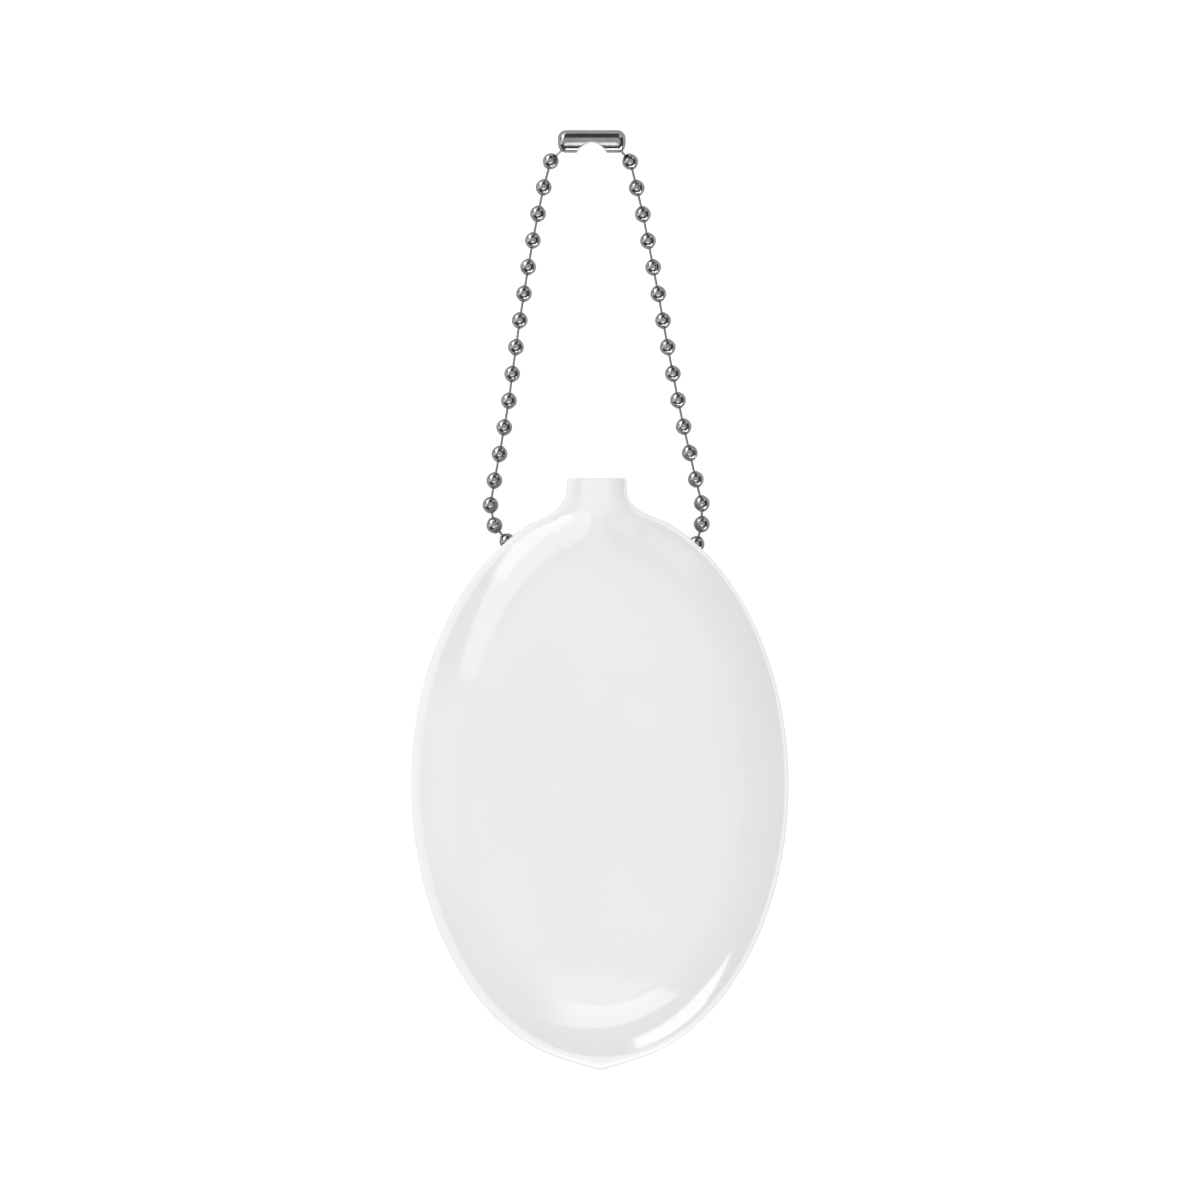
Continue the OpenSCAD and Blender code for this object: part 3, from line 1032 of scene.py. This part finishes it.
def softbox(name, azimuth, elevation, distance, width, height, power):
    """A rectangular lamp that faces the purse. Azimuth is from +X towards +Y, in degrees."""
    obj = area_lamp(name, width, height, power)
    a, e = math.radians(azimuth), math.radians(elevation)
    way = Vector((math.cos(e) * math.cos(a), math.cos(e) * math.sin(a), math.sin(e)))
    obj.location = distance * way
    turn = way.to_track_quat("Z", "Y")
    obj.rotation_euler = turn.to_euler()
    return obj


# The sky that glossy surfaces mirror: its levels overhead and at the sides, and the elevations between
# which it changes. Azimuths are from +X towards +Y, and all angles are in degrees
ZENITH = 0.55
HORIZON = 0.08
ZENITH_FROM = 42
ZENITH_TO = 54
# Light panels: azimuths, elevations of the lower edge and of the upper edge at those azimuths,
# radiance, softness of the lower edge, of the upper edge, and of the two sides
PANELS = [
    ((112, 163), (-14, 25), (33, 46.5), 2.0, 1.0, 4, (2, 2)),
    ((94, 141), (-14, 4), (4, 20.5), 1.8, 0.7, 1.0, (3, 1.5)),
    ((166, 196), (-14, -14), (42, 42), 0.9, 1.0, 10, (6, 10)),
    ((-74, -44), (1.5, 2.5), (14.5, 17), 5.0, 0.5, 0.5, (2, 0.5)),
    ((-44, -30), (2.5, 12), (17, 14.5), 5.0, 0.5, 0.5, (0.5, 2)),
    ((-130, -92), (50, 60), (74, 86), 1.1, 0.8, 6, (14, 0.5)),
    ((-92, -50), (60, 61), (86, 68), 1.1, 0.8, 6, (0.5, 12)),
    ((42, 68), (6, 6), (30, 30), 0.8, 4, 4, (5, 5)),
]
# The sky's azimuths are counted round from here, where no panel lies
FIRST_AZIMUTH = -150.0
# The sky that matt surfaces gather: its level overhead, and how much more it is at the sides
EVEN_SKY = 0.78
SIDE_SKY = 0.5
# The soft key lamp's place in degrees and metres, its side and its power
KEY_AZIMUTH = 180
KEY_ELEVATION = 68
KEY_DISTANCE = 1.2
KEY_SIDE = 0.8
KEY_POWER = 2.0
# The card at the purse's foot: width and height, place, slant in degrees, radiance, and the share of its
# width over which it fades in from the left. It fades out four times as fast at the right
CARD_SIZE = (0.104, 0.044)
CARD_PLACE = (0.001, -0.075, 0.0575)
CARD_SLANT = 14.0
CARD_RADIANCE = 2.1
CARD_FADE = 0.4
CARD_FADE_RIGHT = CARD_FADE / 4
# An area lamp's power for each unit of its radiance and each square metre
POWER_PER_RADIANCE = 4


def step_node(nodes, links, value, start, end):
    """A smooth step from 0 at start to 1 at end. Where end is less than start, it falls with the value."""
    node = nodes.new("ShaderNodeMapRange")
    node.interpolation_type = "SMOOTHSTEP"
    rising = end > start
    node.inputs["From Min"].default_value = min(start, end)
    node.inputs["From Max"].default_value = max(start, end)
    node.inputs["To Min"].default_value = 0.0 if rising else 1.0
    node.inputs["To Max"].default_value = 1.0 if rising else 0.0
    links.new(value, node.inputs["Value"])
    return node.outputs["Result"]


def panel(nodes, links, azimuth, elevation, azimuths, lower, upper, radiance, edge, fade, side_softness):
    """Radiance of one light panel in the sky, as a socket."""
    first, last = azimuths
    parts = [
        step_node(nodes, links, azimuth, first - side_softness[0], first + side_softness[0]),
        step_node(nodes, links, azimuth, last + side_softness[1], last - side_softness[1]),
    ]
    for line, soft, sign in ((lower, edge, 1), (upper, fade, -1)):
        slope = (line[1] - line[0]) / (last - first)
        slanted = math_node(nodes, links, "MULTIPLY", azimuth, slope)
        over = math_node(nodes, links, "SUBTRACT", elevation, slanted)
        at_zero = line[0] - slope * first
        parts.append(step_node(nodes, links, over, at_zero - sign * soft, at_zero + sign * soft))
    level = radiance
    for part in parts:
        level = math_node(nodes, links, "MULTIPLY", part, level)
    return level


def blend_levels(nodes, links, share, first, second):
    """First where share is 0 and second where it is 1."""
    gain = math_node(nodes, links, "SUBTRACT", second, first)
    return math_node(nodes, links, "ADD", first, math_node(nodes, links, "MULTIPLY", share, gain))


def world():
    """A plain studio: light panels for glossy surfaces, an even sky for matt ones, white to the camera."""
    scene_world = bpy.data.worlds.new("studio")
    bpy.context.scene.world = scene_world
    scene_world.use_nodes = True
    scene_world.cycles.sampling_method = "NONE"
    nodes, links = scene_world.node_tree.nodes, scene_world.node_tree.links
    background = next(n for n in nodes if n.type == "BACKGROUND")
    coords = nodes.new("ShaderNodeTexCoord")
    split = nodes.new("ShaderNodeSeparateXYZ")
    links.new(coords.outputs["Generated"], split.inputs["Vector"])
    x, y, z = (split.outputs[k] for k in "XYZ")
    turn = math_node(nodes, links, "ARCTAN2", y, x)
    azimuth = math_node(nodes, links, "MULTIPLY", turn, math.degrees(1))
    azimuth = math_node(nodes, links, "WRAP", azimuth, FIRST_AZIMUTH + 360, FIRST_AZIMUTH)
    elevation = math_node(nodes, links, "MULTIPLY", math_node(nodes, links, "ARCSINE", z), math.degrees(1))
    off_level = math_node(nodes, links, "ABSOLUTE", elevation)
    overhead = step_node(nodes, links, off_level, ZENITH_FROM, ZENITH_TO)
    glossy = blend_levels(nodes, links, overhead, HORIZON, ZENITH)
    for values in PANELS:
        glossy = math_node(nodes, links, "ADD", glossy, panel(nodes, links, azimuth, elevation, *values))
    path = nodes.new("ShaderNodeLightPath")
    off_side = math_node(nodes, links, "MULTIPLY", math_node(nodes, links, "ABSOLUTE", z), SIDE_SKY)
    matt = math_node(nodes, links, "SUBTRACT", EVEN_SKY + SIDE_SKY, off_side)
    level = glossy
    for ray, value in (("Is Diffuse Ray", matt), ("Is Camera Ray", 1.0)):
        level = blend_levels(nodes, links, path.outputs[ray], level, value)
    links.new(level, background.inputs["Strength"])
    background.inputs["Color"].default_value = (1, 1, 1, 1)


def lamps():
    """A soft key from the left, which isn't mirrored, and a low card at the foot, which only is."""
    key = softbox("key", KEY_AZIMUTH, KEY_ELEVATION, KEY_DISTANCE, KEY_SIDE, KEY_SIDE, KEY_POWER)
    key.visible_glossy = False
    width, height = CARD_SIZE
    card = area_lamp("foot_card", width, height, CARD_RADIANCE * POWER_PER_RADIANCE * width * height)
    card.location = CARD_PLACE
    card.rotation_euler = (math.radians(90), math.radians(-CARD_SLANT), 0)
    card.visible_diffuse = False
    card.data.use_nodes = True
    nodes, links = card.data.node_tree.nodes, card.data.node_tree.links
    emission = next(n for n in nodes if n.type == "EMISSION")
    place = nodes.new("ShaderNodeNewGeometry")
    split = nodes.new("ShaderNodeSeparateXYZ")
    links.new(place.outputs["Parametric"], split.inputs["Vector"])
    from_left = step_node(nodes, links, split.outputs["X"], 0.0, CARD_FADE)
    from_right = step_node(nodes, links, split.outputs["X"], 1.0, 1.0 - CARD_FADE_RIGHT)
    links.new(math_node(nodes, links, "MULTIPLY", from_left, from_right), emission.inputs["Strength"])


# The photograph's side in pixels, millimetres per pixel, and the pixel at the frame's origin
PHOTO_PX = 1200
PX_MM = 0.15
PHOTO_ORIGIN = (602.6, 780)
CAMERA_DISTANCE = 4.0
CLIP_END = 20
SENSOR = 36.0


def camera():
    """Looks straight down at the purse, as the photograph does."""
    data = bpy.data.cameras.new("camera")
    obj = bpy.data.objects.new("camera", data)
    bpy.context.scene.collection.objects.link(obj)
    span = PHOTO_PX * PX_MM * MM
    data.sensor_width = SENSOR
    data.lens = SENSOR * CAMERA_DISTANCE / span
    data.clip_end = CLIP_END
    across = (PHOTO_PX / 2 - PHOTO_ORIGIN[0]) * PX_MM
    up = (PHOTO_ORIGIN[1] - PHOTO_PX / 2) * PX_MM
    target = Vector((across, up, PART_Z)) * MM
    obj.location = target + Vector((0, 0, CAMERA_DISTANCE))
    obj.rotation_euler = (0, 0, 0)
    bpy.context.scene.camera = obj


def purse(centres):
    parts = [purse_shell(centres), neck_tube(), moulded_rim()]
    piece = join_meshes("purse_front", parts)
    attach(piece, "purse")
    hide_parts("front_shell")
    back_lips()


def clasp(centres):
    middle = (centres["left_clasp_bead"] + centres["right_clasp_bead"]) / 2
    piece = clasp_sheet(middle)
    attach(piece, "clasp")
    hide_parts("clasp")


bpy.context.scene.view_settings.view_transform = "Standard"
camera()
bead_centres = {node: bead_centre(node) for node in chain_order()}
purse(bead_centres)
chain(bead_centres)
clasp(bead_centres)
floor()
world()
lamps()
